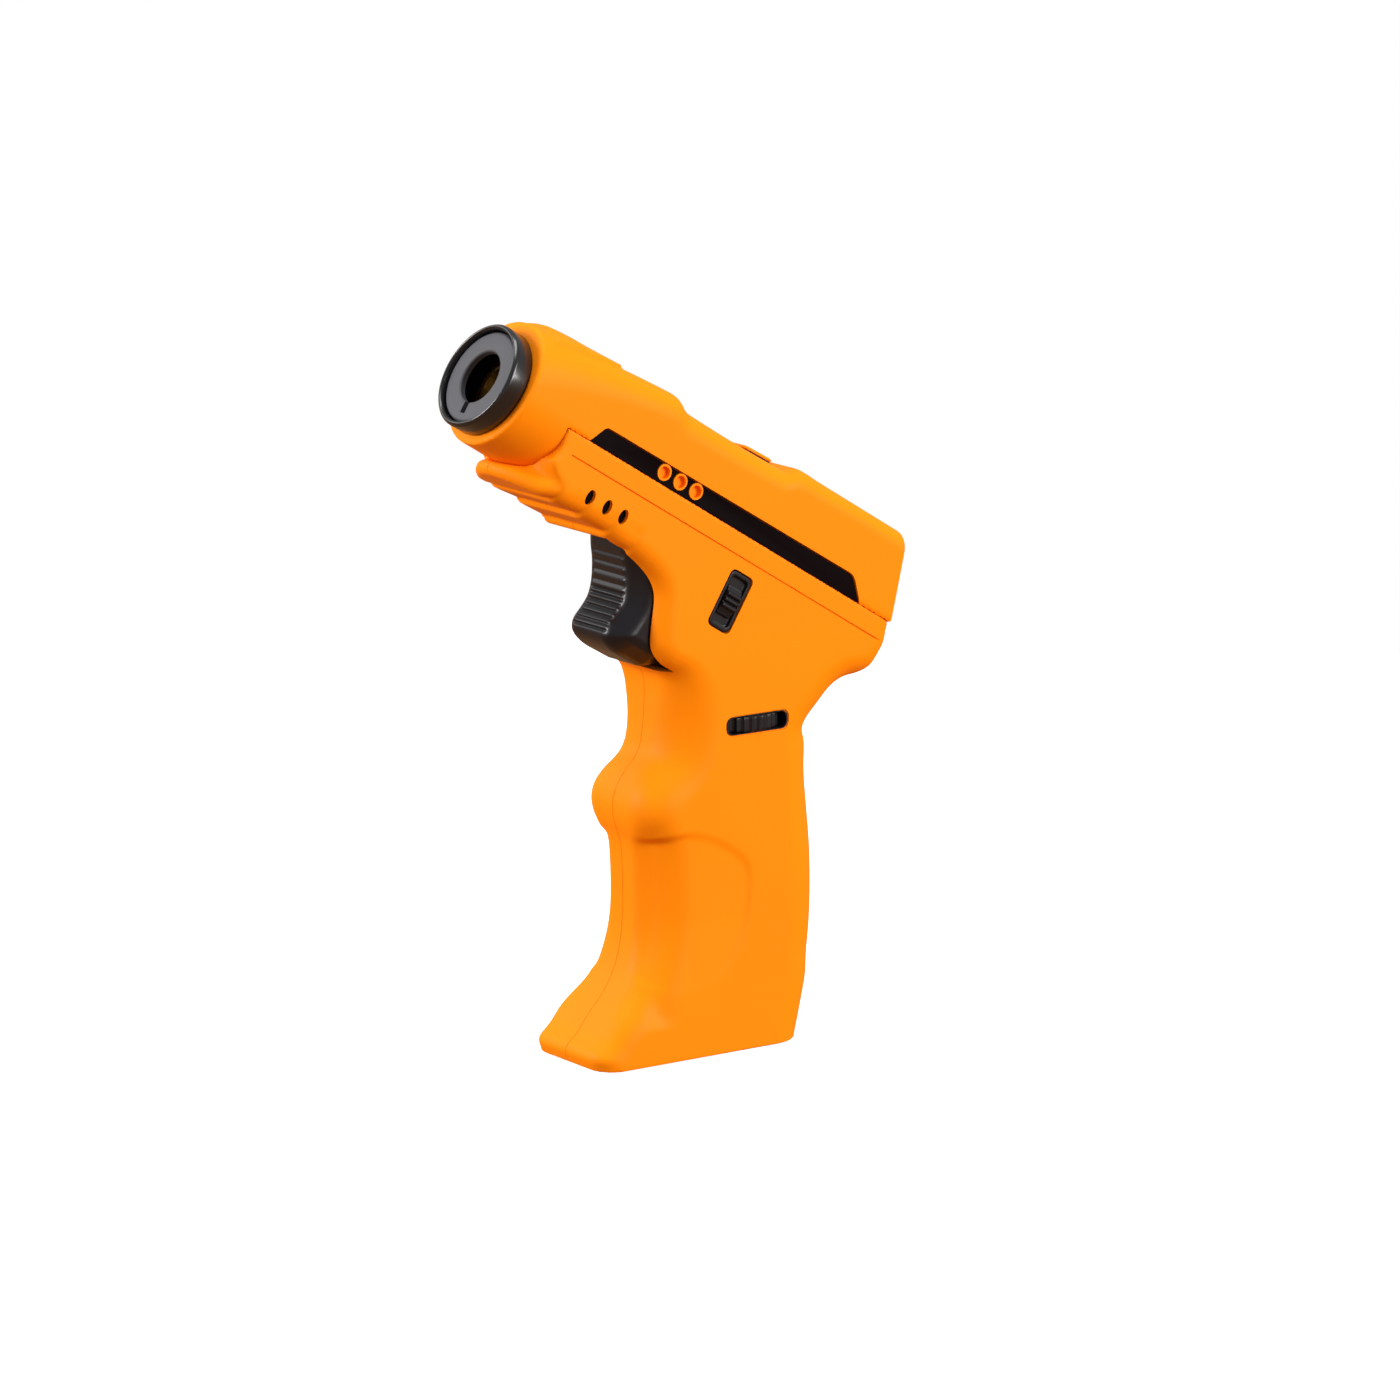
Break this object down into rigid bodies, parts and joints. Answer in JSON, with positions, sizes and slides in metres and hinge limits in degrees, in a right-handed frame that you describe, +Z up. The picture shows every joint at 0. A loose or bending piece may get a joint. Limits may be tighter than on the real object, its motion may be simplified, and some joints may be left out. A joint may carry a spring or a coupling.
{
  "type": "infrared thermometer",
  "caption": "Pistol-shaped infrared thermometer with a pitched barrel, ribbed trigger, mode slider, thumbwheel, top button, rear display and a battery hatch in the grip's base.",
  "frame": {"origin": "centre of the flat base that the grip stands on", "axes": "+X is the level direction the sensor looks towards, +Y the left side with the slider and thumbwheel, +Z up"},
  "size_m": [0.1189, 0.032, 0.1765],
  "materials": {
    "orange_plastic": "satin",
    "black_plastic": "satin",
    "gloss_black": "gloss",
    "grey_plastic": "matte",
    "brass": "satin",
    "steel": "satin",
    "lens_glass": "polished",
    "clear_window": "polished",
    "display_glass": "satin",
    "circuit_board": "satin",
    "cell_sleeve": "gloss",
    "red_lead": "satin",
    "black_lead": "satin"
  },
  "bodies": {
    "body": {"left_shell": "orange_plastic", "right_shell": "orange_plastic", "shell_screw_1": "steel", "shell_screw_2": "steel", "shell_screw_3": "steel", "shell_screw_4": "steel", "shell_screw_5": "steel", "top_cover": "orange_plastic", "left_strip": "black_plastic", "right_strip": "black_plastic", "bezel_ring": "gloss_black", "aperture_disc": "grey_plastic", "sensor_tube": "brass", "sensor_lens": "lens_glass", "sensor_holder": "black_plastic", "laser_module": "brass", "thermopile": "steel", "sensor_board": "circuit_board", "main_board": "circuit_board", "buzzer": "black_plastic", "tact_switch": "black_plastic", "lcd_window": "clear_window", "lcd_module": "display_glass", "display_board": "circuit_board", "trigger_pin": "steel", "trigger_board": "circuit_board", "trigger_spring": "steel", "trigger_switch": "black_plastic", "slider_frame": "black_plastic", "slide_switch": "grey_plastic", "dial_potentiometer": "grey_plastic", "dial_board": "circuit_board", "base_plate": "black_plastic", "battery_tray": "black_plastic", "battery_1": "cell_sleeve", "battery_2": "cell_sleeve", "contact_positive": "brass", "contact_negative": "brass", "hatch_pin": "steel", "lead_red": "red_lead", "lead_black": "black_lead"},
    "trigger": {"trigger": "black_plastic"},
    "slider": {"slider_knob": "black_plastic"},
    "dial": {"thumbwheel": "black_plastic"},
    "button": {"top_button": "orange_plastic"},
    "hatch": {"battery_hatch": "orange_plastic", "contact_bridge": "brass"}
  },
  "joints": [
    {"name": "trigger_pull", "type": "hinge", "parent": "body", "child": "trigger", "pos_m": [0.00965, 0, 0.125], "axis": [0, 1, 0], "range_deg": [0, 7], "stiffness_Nm_per_rad": 0.25, "springref_deg": -6.88, "deforming": ["trigger_spring"]},
    {"name": "slider_travel", "type": "slide", "parent": "body", "child": "slider", "axis": [-0.5225, 0, 0.8526], "range_m": [-0.002, 0.002]},
    {"name": "dial_turn", "type": "hinge", "parent": "body", "child": "dial", "pos_m": [-0.01525, 0.005, 0.0785], "axis": [0, 0, 1], "range_deg": [-140, 140]},
    {"name": "button_press", "type": "slide", "parent": "body", "child": "button", "axis": [0.5225, 0, -0.8526], "range_m": [0, 0.001], "stiffness_N_per_m": 600, "springref_m": -0.0003},
    {"name": "hatch_open", "type": "hinge", "parent": "body", "child": "hatch", "pos_m": [-0.025, 0, 0.0012], "axis": [0, 1, 0], "range_deg": [0, 100]}
  ]
}
